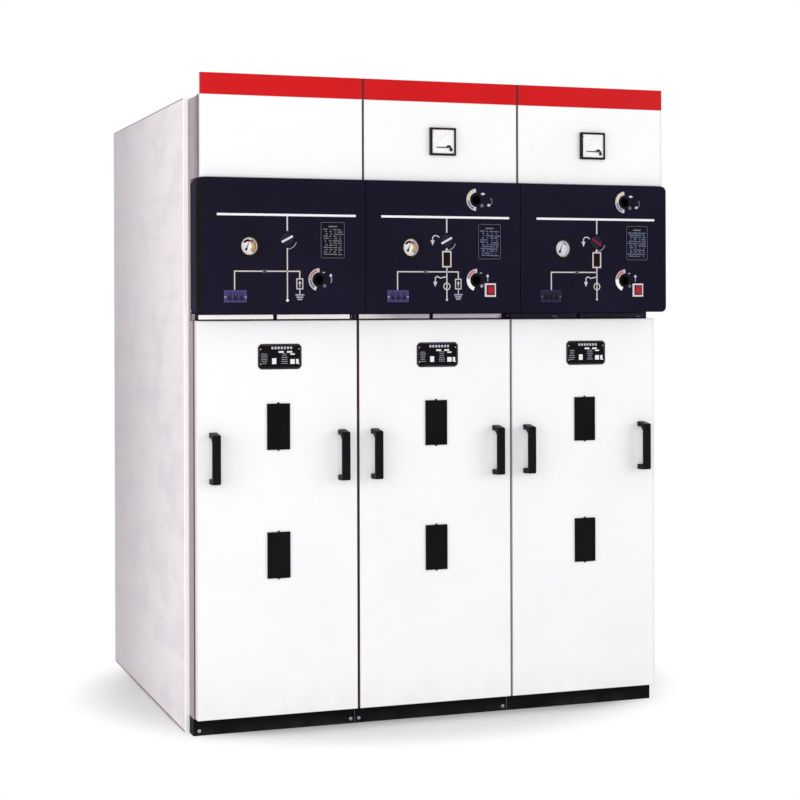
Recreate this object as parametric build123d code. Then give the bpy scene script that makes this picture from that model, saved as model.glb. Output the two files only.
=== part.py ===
from build123d import *
import math
import os

os.makedirs("parts", exist_ok=True)

# Three cubicles stand side by side along X, on the floor at Z = 0, with their front towards -Y.
# Sizes are in millimetres.

# the row
unit_count = 3
unit_width = 500
overall_height = 1930
overall_depth = 1208
sheet = 3
thin_sheet = 2
fold_radius = 2.5
seal_gap = 0.3
joint_gap = 1
unit_gap = 7
door_gap = 8

# heights of the tiers; the cable doors take what is left between them
plinth_height = 52
header_height = 62
instrument_height = 239
cover_height = 392
cover_gap = 2
reveal_height = 21

roof = overall_height - header_height
instrument_bottom = roof - instrument_height
cover_top = instrument_bottom - cover_gap
cover_bottom = cover_top - cover_height
door_top = cover_bottom - reveal_height
door_bottom = plinth_height + 1

# how far each front stands behind the mechanism covers; the push buttons stand out furthest
button_proud = 6
instrument_setback = 22
door_setback = 72
frame_setback = 102
plinth_setback = 114
housing_setback = 132
side_setback = 158

cover_front = button_proud - overall_depth / 2
instrument_front = cover_front + instrument_setback
door_front = cover_front + door_setback
frame_face = cover_front + frame_setback
plinth_front = cover_front + plinth_setback
housing_face = cover_front + housing_setback
side_front = cover_front + side_setback
back = overall_depth / 2

# base frame and cable boxes
rail_width = 50
jamb_width = 25
jamb_lip = 15
entry_margin = 50
entry_depth = 200
entry_setback = 596
entry_y = frame_face + entry_setback

# cable clamp rail and bushings inside each cable box
clamp_rail_rise = 348
clamp_rail_setback = 456
clamp_rail_height = 40
clamp_rail_depth = 22
clamp_slot_length = 28
clamp_slot_height = 7
clamp_slot_spacing = 56
phase_pitch = 130
phase_setback = 276
bushing_root = 46
bushing_tip = 28
bushing_length = 200
bushing_sides = 20

# covers of the row's ends, back and roof
side_thickness = 14
side_rise = 4
rear_split_drop = 114
rear_margin = 3
rear_edge = 1
roof_edge = 0.8

# reveal between the doors and the mechanism covers
lip_depth = 5
strip_height = 13
strip_margin = 15
strip_offset = 7
strip_notch = 12

# cable doors
door_lip = 14
window_width = 70
window_height = 136
window_rim = 7
window_proud = 4
pane_recess = 1.5
pane_clearance = 0.5
window_drop = 312
window_spacing = 378
clip_width = 6
clip_height = 3
plate_width = 134
plate_height = 75
plate_offset = 5
plate_drop = 106
plate_thickness = 1.5
plate_corner = 9
handle_inset = 48
handle_drop = 400
handle_height = 151
handle_width = 25
handle_reach = 43
handle_bar = 11
handle_leg = 16
handle_slope = 6
handle_rise = 2
handle_chamfer = 12
handle_round = 5
handle_edge = 2

# mechanism covers: moulded shells with round corners at the row's ends
cover_wall = 4
cover_corner = 16
cover_edge = 4
fascia_depth = 61
groove_width = 3
groove_depth = 1.5

# what is read and worked through the covers, from the cubicle's middle and the cover's foot
gauge_x = -106
gauge_rise = 195
gauge_radius = 36
gauge_port = 32
gauge_dial = 25
gauge_well = 12
gauge_proud = 2.5
gauge_flare = 1.5
gauge_depth = 45
disc_x = 7
disc_rise = 216
disc_radius = 19
disc_thickness = 6
disc_clearance = 1
disc_recess = 1
bar_width = 6
bar_height = 1
bar_tilts = (28, 28, -32)
spindle_radius = 5
running_clearance = 0.05
bearing_radius = 12
bearing_length = 15
socket_x = 105
socket_rise = 98
socket_drop = 52
socket_radius = 13
socket_wall = 6.5
socket_depth = 60
socket_chamfer = 2
socket_proud = 0.5
button_x = 148
button_rise = 68
button_width = 26
button_height = 30
button_clearance = 0.4
button_travel = 5
button_edge = 1.5
cap_depth = 12
frame_width = 36
frame_height = 41
frame_proud = 4
volt_x = -150
volt_rise = 50
volt_width = 68
volt_height = 36
volt_proud = 3
volt_edge = 1
sheet_x = 146
sheet_rise = 214
sheet_width = 75
sheet_height = 107
sheet_proud = 1

# instrument boxes
instrument_leaf = 20
header_thickness = 12
header_foot = 40
meter_x = 2
meter_rise = 120
meter_size = 83
meter_proud = 12
meter_rim = 6
meter_well = 4
meter_edge = 2


def unit_x(index):
    """The middle of a cubicle."""
    return (index - (unit_count - 1) / 2) * unit_width


def across(middle, size):
    """The low and high end of a size about its middle."""
    return (middle - size / 2, middle + size / 2)


def inset(span, margin):
    return (span[0] + margin, span[1] - margin)


def block(x, y, z):
    """A box from its low and high end along each axis."""
    middle = [(span[0] + span[1]) / 2 for span in (x, y, z)]
    return Pos(*middle) * Box(*[span[1] - span[0] for span in (x, y, z)])


def slab(face, y0, y1, x=0, z=0):
    """A face seen from the front, made solid from y0 to y1."""
    return Pos(x, y1, z) * extrude(Plane.XZ * face, amount=y1 - y0)


def rod(radius, y0, y1, x, z):
    """A round bar lying along Y."""
    return slab(Circle(radius), y0, y1, x, z)


def soften_front(solid, radius):
    """Rounds the outer edges of a solid's front face."""
    front = solid.faces().sort_by(Axis.Y)[0]
    return fillet(front.outer_wire().edges(), radius)


def bevel_front(solid, size):
    """Cuts the outer edges of a solid's front face at 45 degrees."""
    front = solid.faces().sort_by(Axis.Y)[0]
    return chamfer(front.outer_wire().edges(), size)


def save(name, shapes):
    solids = [solid for shape in shapes for solid in shape.solids()]
    whole = Compound(solids) if len(solids) > 1 else solids[0]
    export_step(whole, f"parts/{name}.step")


def base_frame(mid):
    """Channel bent round a rectangle, its web outwards and its flanges level."""
    x = across(mid, unit_width - joint_gap)
    y = (plinth_front, back)
    z = (0, plinth_height)
    frame = block(x, y, z)
    frame -= block(inset(x, rail_width), inset(y, rail_width), inset(z, -1))
    frame -= block(inset(x, sheet), inset(y, sheet), inset(z, sheet))
    return frame


def cable_box(mid):
    """The hollow cable compartment, open in front between its jambs, with a cable entry in its floor."""
    x = across(mid, unit_width)
    y = (frame_face, back - sheet)
    z = (plinth_height, door_top)
    mouth_x = inset(x, jamb_width)
    mouth_z = inset(z, jamb_width)
    box = block(x, y, z) - block(inset(x, sheet), inset(y, sheet), inset(z, sheet))
    lip_y = (frame_face, frame_face + jamb_lip)
    box += block(inset(mouth_x, -thin_sheet), lip_y, inset(mouth_z, -thin_sheet))
    box -= block(mouth_x, inset(lip_y, -1), mouth_z)
    entry_z = (plinth_height - 1, plinth_height + sheet + 1)
    box -= block(inset(x, entry_margin), across(entry_y, entry_depth), entry_z)
    return box


def clamp_rail(mid):
    """A slotted channel from wall to wall, which cables are strapped to."""
    middle = plinth_height + clamp_rail_rise
    x = across(mid, unit_width - 2 * sheet)
    y = across(frame_face + clamp_rail_setback, clamp_rail_depth)
    z = across(middle, clamp_rail_height)
    rail = block(x, y, z) - block(inset(x, -1), (y[0] + thin_sheet, y[1] + 1), inset(z, thin_sheet))
    slot = Rectangle(clamp_slot_length, clamp_slot_height)
    for phase in (-1, 0, 1):
        for side in (-1, 1):
            at = mid + phase * phase_pitch + side * clamp_slot_spacing / 2
            rail -= slab(slot, y[0] - 1, y[0] + thin_sheet + 1, at, middle)
    return rail


def bushing(mid, phase):
    """A tapered bushing hanging from the ceiling, its round side made of flats."""
    slope = math.degrees(math.atan((bushing_root - bushing_tip) / bushing_length))
    prism = extrude(RegularPolygon(bushing_root, bushing_sides), amount=bushing_length, dir=(0, 0, -1))
    cone = draft(prism.faces().filter_by(Axis.Z, reverse=True), Plane.XY, -slope)
    return Pos(mid + phase * phase_pitch, frame_face + phase_setback, door_top - sheet) * cone


def switch_housing(mid):
    """The closed tank above the cable box, with the bearing of the position disc on its front."""
    housing = block(across(mid, unit_width), (housing_face, back - sheet), (door_top, roof - thin_sheet))
    z = cover_bottom + disc_rise
    housing += rod(bearing_radius, housing_face - bearing_length, housing_face + 1, mid + disc_x, z)
    bore = spindle_radius + running_clearance
    housing -= rod(bore, housing_face - bearing_length - 1, housing_face, mid + disc_x, z)
    return housing


def rear_cover(mid, z):
    x = across(mid, unit_width - 2 * rear_margin)
    plate = block(x, (back - sheet, back), z)
    return chamfer(plate.faces().sort_by(Axis.Y)[-1].edges(), rear_edge)


def roof_cover(mid):
    x = across(mid, unit_width - 2 * rear_margin)
    y = (instrument_front + instrument_leaf, back - sheet)
    plate = block(x, y, (roof - thin_sheet, roof))
    return chamfer(plate.faces().sort_by(Axis.Z)[-1].edges(), roof_edge)


def side_cover(side):
    """A pan of folded sheet on the row's end, its open side against the cubicle."""
    end = side * unit_count * unit_width / 2
    x = sorted((end, end + side * side_thickness))
    y = (side_front, back)
    z = (0, roof + side_rise)
    pan = block(x, y, z)
    outer = pan.faces().sort_by(Axis.X)[-1 if side > 0 else 0]
    pan = fillet(outer.edges(), fold_radius)
    hollow = sorted((end - side, end + side * (side_thickness - thin_sheet)))
    return pan - block(hollow, inset(y, thin_sheet), inset(z, thin_sheet))


def cover_outline(index, margin):
    """A mechanism cover from the front. Its corners are round only at an end of the row."""
    radius = cover_corner - margin
    outline = Rectangle(unit_width - joint_gap - 2 * margin, cover_height - 2 * margin)
    if index == 0:
        outline = fillet(outline.vertices().sort_by(Axis.X)[:2], radius)
    if index == unit_count - 1:
        outline = fillet(outline.vertices().sort_by(Axis.X)[-2:], radius)
    return outline


def is_fused(index):
    """All cubicles but the first have a fuse switch, with a button, a second socket and an ammeter."""
    return index > 0


def socket_levels(index):
    low = cover_bottom + socket_rise
    return [low, cover_top - socket_drop] if is_fused(index) else [low]


def mechanism_cover(index):
    """A moulded shell: a fascia and a skirt with a groove between them, ports, and a lip at the foot."""
    mid = unit_x(index)
    middle = (cover_bottom + cover_top) / 2
    shell = slab(cover_outline(index, 0), cover_front, housing_face, mid, middle)
    shell = soften_front(shell, cover_edge)
    groove = (cover_front + fascia_depth, cover_front + fascia_depth + groove_width)
    around = cover_outline(index, -1) - cover_outline(index, groove_depth)
    shell -= slab(around, *groove, mid, middle)
    shell -= slab(cover_outline(index, cover_wall), cover_front + cover_wall, housing_face + 1, mid, middle)
    lip_y = (housing_face - lip_depth, housing_face)
    lip_z = (door_top + seal_gap, cover_bottom + cover_wall)
    shell += block(across(mid, unit_width - joint_gap), lip_y, lip_z)
    front = (cover_front - 1, cover_front + cover_wall + 1)
    shell -= rod(gauge_port + running_clearance, *front, mid + gauge_x, cover_bottom + gauge_rise)
    shell -= rod(disc_radius + disc_clearance, *front, mid + disc_x, cover_bottom + disc_rise)
    for level in socket_levels(index):
        shell -= rod(socket_radius + socket_wall, *front, mid + socket_x, level)
    if is_fused(index):
        shell -= slab(button_hole(), *front, mid + button_x, cover_bottom + button_rise)
    return shell


def reveal_strips(mid):
    """Two bright strips on the cover's lip, with a notch between them."""
    ends = inset(across(mid + strip_offset, unit_width), strip_margin)
    notch = across(mid + strip_offset, strip_notch)
    y = (housing_face - lip_depth - thin_sheet, housing_face - lip_depth)
    z = across((door_top + cover_bottom) / 2, strip_height)
    return [block((ends[0], notch[0]), y, z), block((notch[1], ends[1]), y, z)]


def gauge(mid):
    """A round gauge turned in one piece: bezel, sunk dial seat and body."""
    seat = gauge_well - gauge_proud
    points = [
        (0, seat),
        (gauge_dial, seat),
        (gauge_dial + gauge_flare, -gauge_proud),
        (gauge_radius - gauge_flare, -gauge_proud),
        (gauge_radius, gauge_flare - gauge_proud),
        (gauge_radius, 0),
        (gauge_port, 0),
        (gauge_port, gauge_depth),
        (0, gauge_depth),
    ]
    body = revolve(make_face(Polyline(*points, close=True)), Axis.Y)
    return Pos(mid + gauge_x, cover_front, cover_bottom + gauge_rise) * body


def position_disc(mid, tilt):
    """A disc with a raised bar across it, on a spindle that runs in the housing's bearing."""
    face = cover_front + disc_recess
    disc = rod(disc_radius, face, face + disc_thickness, 0, 0)
    bar = Rot(0, 0, tilt) * Rectangle(2 * disc_radius, bar_width)
    disc += slab(bar & Circle(disc_radius), face - bar_height, face + bar_height)
    disc += rod(spindle_radius, face + bar_height, housing_face - seal_gap, 0, 0)
    return Pos(mid + disc_x, 0, cover_bottom + disc_rise) * disc


def lever_socket(x, z):
    """A blind tube that takes the operating lever, from the cover's face to the housing."""
    tube = rod(socket_radius + socket_wall, cover_front - socket_proud, housing_face, x, z)
    tube -= rod(socket_radius, cover_front - 1, cover_front + socket_depth, x, z)
    mouth = tube.faces().sort_by(Axis.Y)[0].inner_wires()[0]
    return chamfer(mouth.edges(), socket_chamfer)


def button_hole():
    """The opening that the button slides in, through its frame and through the cover."""
    return Rectangle(button_width + 2 * button_clearance, button_height + 2 * button_clearance)


def button_frame(mid):
    outline = Rectangle(frame_width, frame_height)
    frame = bevel_front(slab(outline, cover_front - frame_proud, cover_front), button_edge)
    frame -= slab(button_hole(), cover_front - frame_proud - 1, cover_front + 1)
    return Pos(mid + button_x, 0, cover_bottom + button_rise) * frame


def push_button(mid):
    """A cap on a stem, which stops short of the housing by more than its travel."""
    foot = cover_front + cap_depth
    cap = slab(Rectangle(button_width, button_height), cover_front - button_proud, foot)
    cap = bevel_front(cap, button_edge)
    cap += rod(spindle_radius, foot - 1, housing_face - 2 * button_travel, 0, 0)
    return Pos(mid + button_x, 0, cover_bottom + button_rise) * cap


def voltage_indicator(mid):
    front = cover_front - volt_proud
    plate = bevel_front(slab(Rectangle(volt_width, volt_height), front, cover_front), volt_edge)
    return Pos(mid + volt_x, 0, cover_bottom + volt_rise) * plate


def instruction_sheet(mid):
    plate = slab(Rectangle(sheet_width, sheet_height), cover_front - sheet_proud, cover_front)
    return Pos(mid + sheet_x, 0, cover_bottom + sheet_rise) * plate


def instrument_leaf_panel(mid):
    x = across(mid, unit_width - unit_gap)
    y = (instrument_front, instrument_front + instrument_leaf)
    return soften_front(block(x, y, (instrument_bottom, roof)), fold_radius)


def instrument_box(mid):
    x = across(mid, unit_width - joint_gap)
    y = (instrument_front + instrument_leaf, housing_face)
    return block(x, y, (instrument_bottom, roof - thin_sheet))


def header_plate(mid):
    """A folded tray standing on the roof, open to the back, with a foot along its lower edge."""
    x = across(mid, unit_width - unit_gap)
    y = (instrument_front, instrument_front + header_thickness)
    z = (roof, overall_height)
    tray = soften_front(block(x, y, z), fold_radius / 2)
    tray -= block(inset(x, thin_sheet), (y[0] + thin_sheet, y[1] + 1), inset(z, thin_sheet))
    tray += block(x, (y[0] + thin_sheet, y[0] + header_foot), (roof, roof + thin_sheet))
    return tray


def ammeter(mid):
    """A square bezel with a sunk window."""
    front = instrument_front - meter_proud
    bezel = bevel_front(slab(Rectangle(meter_size, meter_size), front, instrument_front), meter_edge)
    window = meter_size - 2 * meter_rim
    bezel -= slab(Rectangle(window, window), front - 1, front + meter_well)
    return Pos(mid + meter_x, 0, instrument_bottom + meter_rise) * bezel


def cable_door(mid):
    """A tray of folded sheet with lips round its back edge and an opening behind each window."""
    x = across(mid, unit_width - door_gap)
    y = (door_front, frame_face - seal_gap)
    z = (door_bottom, door_top)
    tray = soften_front(block(x, y, z), fold_radius)
    tray -= block(inset(x, thin_sheet), inset(y, thin_sheet), inset(z, thin_sheet))
    tray -= block(inset(x, door_lip), (y[1] - thin_sheet - 1, y[1] + 1), inset(z, door_lip))
    opening = Rectangle(window_width - 2 * window_rim, window_height - 2 * window_rim)
    for level in window_levels():
        tray -= slab(opening, y[0] - 1, y[0] + thin_sheet + 1, mid, level)
    return tray


def window_levels():
    return [door_top - window_drop - window_spacing, door_top - window_drop]


def window(mid, level):
    """A dark pane in a rim with a clip above and below, which plugs its opening in the door."""
    front = door_front - window_proud
    rim = slab(Rectangle(window_width, window_height), front, door_front)
    pane_width = window_width - 2 * window_rim
    pane_height = window_height - 2 * window_rim
    rim -= slab(Rectangle(pane_width, pane_height), front - 1, front + pane_recess)
    for side in (-1, 1):
        clip_z = side * (window_height + clip_height) / 2
        clip_y = (door_front - window_proud / 2, door_front)
        rim += slab(Rectangle(clip_width, clip_height + 1), *clip_y, 0, clip_z)
    plug = Rectangle(pane_width - 2 * pane_clearance, pane_height - 2 * pane_clearance)
    rim += slab(plug, door_front - 1, door_front + thin_sheet)
    return Pos(mid, 0, level) * rim


def rating_plate(mid):
    plate = slab(Rectangle(plate_width, plate_height), door_front - plate_thickness, door_front)
    plate = chamfer(plate.edges().filter_by(Axis.Y), plate_corner)
    return Pos(mid + plate_offset, 0, door_top - plate_drop) * plate


def bow_handle(x):
    """A bow handle from the side: a sloping upper leg, a straight grip and a level lower leg."""
    top = handle_height / 2
    grip = handle_reach - handle_bar
    leg = top - handle_leg
    points = [
        (0, top),
        (-handle_reach, top - handle_slope),
        (-handle_reach, handle_rise - top),
        (0, -top),
        (0, -leg),
        (-grip, handle_rise - leg),
        (-grip, leg - handle_chamfer),
        (handle_chamfer - grip, leg),
        (0, leg),
    ]
    side = make_face(Polyline(*points, close=True))
    side = fillet(side.vertices().sort_by(Axis.X)[:2], handle_round)
    bow = extrude(Plane.YZ * side, amount=handle_width / 2, both=True)
    cheeks = bow.faces().sort_by(Axis.X)
    outer = [edge for cheek in (cheeks[0], cheeks[-1]) for edge in cheek.edges() if edge.center().Y < -1]
    bow = chamfer(outer, handle_edge)
    return Pos(x, door_front, door_top - handle_drop) * bow


units = range(unit_count)
mids = [unit_x(index) for index in units]

save("plinth", [base_frame(mid) for mid in mids])
save("clamp_rails", [clamp_rail(mid) for mid in mids])
save("cable_bushings", [bushing(mid, phase) for mid in mids for phase in (-1, 0, 1)])
rear_split = door_top - rear_split_drop
rear_spans = [(plinth_height, rear_split - rear_margin), (rear_split + rear_margin, roof - thin_sheet)]
save("rear_covers", [rear_cover(mid, span) for mid in mids for span in rear_spans])
save("roof_covers", [roof_cover(mid) for mid in mids])
save("side_cover_left", [side_cover(-1)])
save("side_cover_right", [side_cover(1)])
save("reveal_strips", [strip for mid in mids for strip in reveal_strips(mid)])
save("pressure_gauges", [gauge(mid) for mid in mids])
save("lever_sockets", [lever_socket(unit_x(i) + socket_x, z) for i in units for z in socket_levels(i)])
save("button_frames", [button_frame(unit_x(i)) for i in units if is_fused(i)])
save("voltage_indicators", [voltage_indicator(mid) for mid in mids])
save("instruction_sheets", [instruction_sheet(mid) for mid in mids])
save("instrument_boxes", [instrument_box(mid) for mid in mids])
save("header_plates", [header_plate(mid) for mid in mids])
save("ammeters", [ammeter(unit_x(i)) for i in units if is_fused(i)])

for index in units:
    number = index + 1
    mid = unit_x(index)
    save(f"cable_box_{number}", [cable_box(mid)])
    save(f"switch_housing_{number}", [switch_housing(mid)])
    save(f"mechanism_cover_{number}", [mechanism_cover(index)])
    save(f"position_disc_{number}", [position_disc(mid, bar_tilts[index])])
    save(f"instrument_door_{number}", [instrument_leaf_panel(mid)])
    save(f"cable_door_{number}", [cable_door(mid)])
    save(f"door_windows_{number}", [window(mid, level) for level in window_levels()])
    save(f"rating_plate_{number}", [rating_plate(mid)])
    grips = inset(across(mid, unit_width - door_gap), handle_inset)
    save(f"door_handles_{number}", [bow_handle(x) for x in grips])
    if is_fused(index):
        save(f"push_button_{number}", [push_button(mid)])
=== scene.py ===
from math import cos, pi, radians, sin
import bmesh
import bpy
from mathutils import Matrix, Vector


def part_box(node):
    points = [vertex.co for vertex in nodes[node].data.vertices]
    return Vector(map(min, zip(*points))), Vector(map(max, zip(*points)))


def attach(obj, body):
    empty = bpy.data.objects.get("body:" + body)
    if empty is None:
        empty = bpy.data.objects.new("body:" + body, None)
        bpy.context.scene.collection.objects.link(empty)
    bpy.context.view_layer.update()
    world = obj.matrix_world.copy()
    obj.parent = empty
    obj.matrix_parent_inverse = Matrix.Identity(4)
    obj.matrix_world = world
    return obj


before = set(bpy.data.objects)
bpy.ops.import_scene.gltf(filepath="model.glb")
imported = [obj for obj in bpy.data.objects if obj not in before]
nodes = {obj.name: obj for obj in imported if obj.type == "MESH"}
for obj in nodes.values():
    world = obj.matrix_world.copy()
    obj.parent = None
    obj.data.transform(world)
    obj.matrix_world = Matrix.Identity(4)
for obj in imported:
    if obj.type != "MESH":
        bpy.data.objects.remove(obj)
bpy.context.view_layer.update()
scene = bpy.context.scene
mm = 0.001
cubicles = (1, 2, 3)
print("frame loaded:", len(nodes), "nodes")


# shader helpers

def addNode(tree, kind, sockets, settings=None):
    # a node with its settings, and with a value or a link on each socket named
    made = tree.nodes.new(kind)
    for name, value in (settings or {}).items():
        setattr(made, name, value)
    for key, value in (sockets or {}).items():
        value = getattr(value, "socket", value)
        if isinstance(value, bpy.types.NodeSocket):
            tree.links.new(value, made.inputs[key])
        else:
            made.inputs[key].default_value = value
    return made


class Wire:
    # one output of a material's nodes, so that shader maths reads as plain arithmetic
    def __init__(self, finish, socket):
        self.finish = finish
        self.socket = socket

    def maths(self, operation, *values):
        return self.finish.node("ShaderNodeMath", dict(enumerate(values)), operation=operation)


def wireMaths(operation, swapped=False):
    return lambda self, other: self.maths(operation, *((other, self) if swapped else (self, other)))


Wire.__add__ = Wire.__radd__ = wireMaths("ADD")
Wire.__sub__, Wire.__rsub__ = wireMaths("SUBTRACT"), wireMaths("SUBTRACT", True)
Wire.__mul__, Wire.__or__ = wireMaths("MULTIPLY"), wireMaths("MAXIMUM")
Wire.__lt__, Wire.__gt__ = wireMaths("LESS_THAN"), wireMaths("GREATER_THAN")


class Finish:
    # a material on the principled shader; fixed values go straight onto its sockets
    def __init__(self, name, colour, roughness, specular=0.5, metal=0.0):
        self.material = bpy.data.materials.new(name)
        self.material.use_nodes = True
        self.material.diffuse_color = (*colour, 1)
        self.tree = self.material.node_tree
        self.shader = self.tree.nodes["Principled BSDF"]
        for socket, value in (("Base Color", (*colour, 1)), ("Roughness", roughness),
                              ("Specular IOR Level", specular), ("Metallic", metal)):
            self.shader.inputs[socket].default_value = value
        self.place = self.node("ShaderNodeTexCoord", output="Object")
        self.axes = [self.node("ShaderNodeSeparateXYZ", {0: self.place}, axis) for axis in "XYZ"]

    def node(self, kind, sockets=None, output=0, **settings):
        return Wire(self, addNode(self.tree, kind, sockets, settings).outputs[output])

    def noise(self, scale, detail=2.0, stretch=(1, 1, 1)):
        spot = self.node("ShaderNodeMapping", {"Vector": self.place, "Scale": stretch})
        return self.node("ShaderNodeTexNoise", {"Vector": spot, "Scale": scale, "Detail": detail})

    def rise(self, value, low, high):
        # 0 below low, 1 above high, smooth between them
        ends = {"Value": value, "From Min": low, "From Max": high}
        return self.node("ShaderNodeMapRange", ends, interpolation_type="SMOOTHSTEP")

    def mix(self, first, second, mask):
        first = first if isinstance(first, Wire) else (*first, 1)
        second = second if isinstance(second, Wire) else (*second, 1)
        return self.node("ShaderNodeMix", {0: mask, 6: first, 7: second}, 2, data_type="RGBA")

    def done(self, colour, roughness, height, depth):
        relief = self.node("ShaderNodeBump", {"Strength": 1.0, "Distance": depth, "Height": height})
        for socket, wire in (("Base Color", colour), ("Roughness", roughness), ("Normal", relief)):
            self.tree.links.new(wire.socket, self.shader.inputs[socket])
        return self.material


def tone(colour, factor):
    return tuple(min(1.0, part * factor) for part in colour)


# finishes

def sprayedEnamel(name, colour, look):
    # sprayed and baked enamel: orange peel, faint clouding, handling marks, dust near the foot, and painted shade on
    # the edges listed in its look
    made = Finish(name, colour, look["roughness"], look["specular"])
    cloud = made.noise(look["cloudScale"], 3)
    scuffs = made.rise(made.noise(look["scuffScale"], 5, (1, 1, 0.25)), 0.6, 0.74)
    height = made.axes[2]
    dust = (1 - made.rise(height, look["dustFrom"], look["dustTo"])) * made.rise(made.noise(14, 4), 0.25, 0.8)
    body = made.mix(tone(colour, look["dark"]), colour, made.rise(cloud, 0.3, 0.62))
    body = made.mix(body, tone(colour, look["scuffTone"]), scuffs * look["scuffs"])
    body = made.mix(body, look["dustColour"], dust * look["dust"])
    # painted shade where doors' edges meet in the seams, and along the row's right-hand end
    for low, high, seamShadeColour in look["seamShades"]:
        body = made.mix(body, seamShadeColour, (made.axes[0] > low) * (made.axes[0] < high))
    rough = look["roughness"] + cloud * 0.08 + scuffs * 0.1 + dust * 0.22
    peel = made.noise(look["peelScale"], 1) + made.noise(look["cloudScale"] * 0.5, 1) * look["wave"]
    return made.done(body, rough, peel, look["peelDepth"])


def edgeShades(node, look):
    # painted shade where two neighbouring doors' edges meet, each seam in its own shade, and then painted shade
    # along the folded edge at the right-hand end of the row, where the light falls off
    boxes = [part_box(f"{node}_{n}") for n in cubicles]
    seamShades = [(near[1].x - edgeSlack, far[0].x + edgeSlack, colour)
             for near, far, colour in zip(boxes, boxes[1:], look["seamShades"])]
    end = boxes[-1][1].x
    return seamShades + [(end - look["endWidth"], end + edgeSlack, look["end"])]


whiteLook = {"roughness": 0.3, "specular": 0.3, "cloudScale": 5.0, "scuffScale": 22.0, "scuffs": 0.1,
             "scuffTone": 0.9, "dark": 0.98, "dustFrom": 0.05, "dustTo": 0.17, "dust": 0.22,
             "dustColour": (0.56, 0.54, 0.51), "peelScale": 520.0, "peelDepth": 0.00005, "wave": 4.0, "seamShades": []}
redLook = dict(whiteLook, roughness=0.34, specular=0.1, dark=0.93, scuffs=0.16, dust=0.0)
blackLook = dict(whiteLook, roughness=0.45, specular=0.04, dark=0.75, scuffTone=2.2, scuffs=0.3,
                 dustFrom=0.0, dustTo=0.04, dust=0.35, dustColour=(0.045, 0.043, 0.042))
edgeSlack = 0.1 * mm
# painted shade in the seam between the first and second cubicles, then between the second and third, and along the
# row's right-hand end
doorSeamShades = {"seamShades": ((0.24, 0.18, 0.185), (0.72, 0.66, 0.66)), "end": (0.8, 0.775, 0.785), "endWidth": 8 * mm}
boxSeamShades = {"seamShades": ((0.5, 0.43, 0.43), (0.44, 0.38, 0.38)), "end": (0.71, 0.71, 0.74), "endWidth": 6 * mm}
whitePaint = (0.86, 0.855, 0.865)
doorEnamel = sprayedEnamel("doorEnamel", whitePaint, dict(whiteLook, seamShades=edgeShades("cable_door", doorSeamShades)))
boxEnamel = sprayedEnamel("boxEnamel", whitePaint,
                          dict(whiteLook, dust=0.0, seamShades=edgeShades("instrument_door", boxSeamShades)))
redEnamel = sprayedEnamel("redEnamel", (0.58, 0.0065, 0.0095), redLook)
blackEnamel = sprayedEnamel("blackEnamel", (0.005, 0.0045, 0.005), blackLook)


def zincSheet(name, colour, look):
    # zinc-coated sheet: crystal patches, rolling streaks and faint tints; a painted shade darkens it along the depth
    # of the row, the face at its very front takes the look's front colour, which on the box and the jamb is painted
    # shade where it shows through the seams, the folds past a height or depth get painted shadow lines, and the
    # sheet's foot is darker brown
    made = Finish(name, colour, look["roughness"], 0.3, look["metal"])
    depth = made.axes[1]
    crystals = {"Vector": made.place, "Scale": look["crystals"]}
    grain = made.node("ShaderNodeSeparateColor", {0: made.node("ShaderNodeTexVoronoi", crystals, "Color")}, "Red")
    streak = made.noise(look["streaks"], 4, (0.05, 0.05, 1))
    body = made.mix(tone(colour, look["dark"]), colour, grain)
    body = made.mix(body, tone(colour, look["streakTone"]), made.rise(streak, 0.42, 0.66) * 0.8)
    tints = made.rise(made.noise(look["tints"], 4, (1, 1, 1.6)), 0.46, 0.66)
    body = made.mix(body, look["tint"], tints * look["tinted"])
    # painted shade along the depth: darker towards the rear of the side cover, and towards the front of the
    # instrument box's side
    body = made.mix(body, look["shadeColour"], made.rise(depth, look["shadeFrom"], look["shadeTo"]) * look["shade"])
    # painted shadow lines along the folds
    for axis, start in look["folds"]:
        body = made.mix(body, look["foldShadeColour"], made.axes[axis] > start)
    body = made.mix(body, look["footColour"], made.axes[2] < look["foot"])
    # the front face: the side cover's flange in its own colour, and on the box and jamb painted shade where they
    # show through the seams
    body = made.mix(body, look["frontFaceAndSeamShade"], depth < look["frontFaceTo"])
    rough = look["roughness"] + (grain - 0.5) * 0.1 + (streak - 0.5) * 0.16
    return made.done(body, rough, grain * 0.3 + made.noise(60, 2), 0.00006)


def frontOf(node):
    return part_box(node)[0].y


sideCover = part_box("side_cover_left")
# the side cover: painted shade darkening it towards the rear
sideLook = {"metal": 0.1, "roughness": 0.45, "crystals": 75.0, "streaks": 26.0, "dark": 0.975, "streakTone": 0.95,
            "tints": 5.5, "tint": (0.7, 0.66, 0.78), "tinted": 0.4, "foot": 0.0, "footColour": (0.2, 0.145, 0.14),
            "shadeFrom": -0.4, "shadeTo": 0.66, "shadeColour": (0.47, 0.43, 0.48), "shade": 0.75,
            "frontFaceAndSeamShade": (0.96, 0.955, 0.95), "frontFaceTo": sideCover[0].y + 2.6 * mm, "folds": []}
# painted shadow lines along the top and rear folds of the side cover, and a darker brown foot
foldLook = dict(sideLook, foot=6 * mm, foldShadeColour=(0.3, 0.265, 0.32),
                folds=[(1, sideCover[1].y - 4 * mm), (2, sideCover[1].z - 5 * mm)])
# the instrument box: painted shade towards its front, and its front face painted dark where it shows through the
# seams between the instrument doors
boxLook = dict(sideLook, tinted=0.0, metal=0.15, dark=0.93, shadeFrom=-0.49, shadeTo=-0.555, shade=1.0,
               shadeColour=(0.235, 0.175, 0.235), frontFaceAndSeamShade=(0.1, 0.085, 0.08),
               frontFaceTo=frontOf("instrument_boxes") + 1 * mm)
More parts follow.
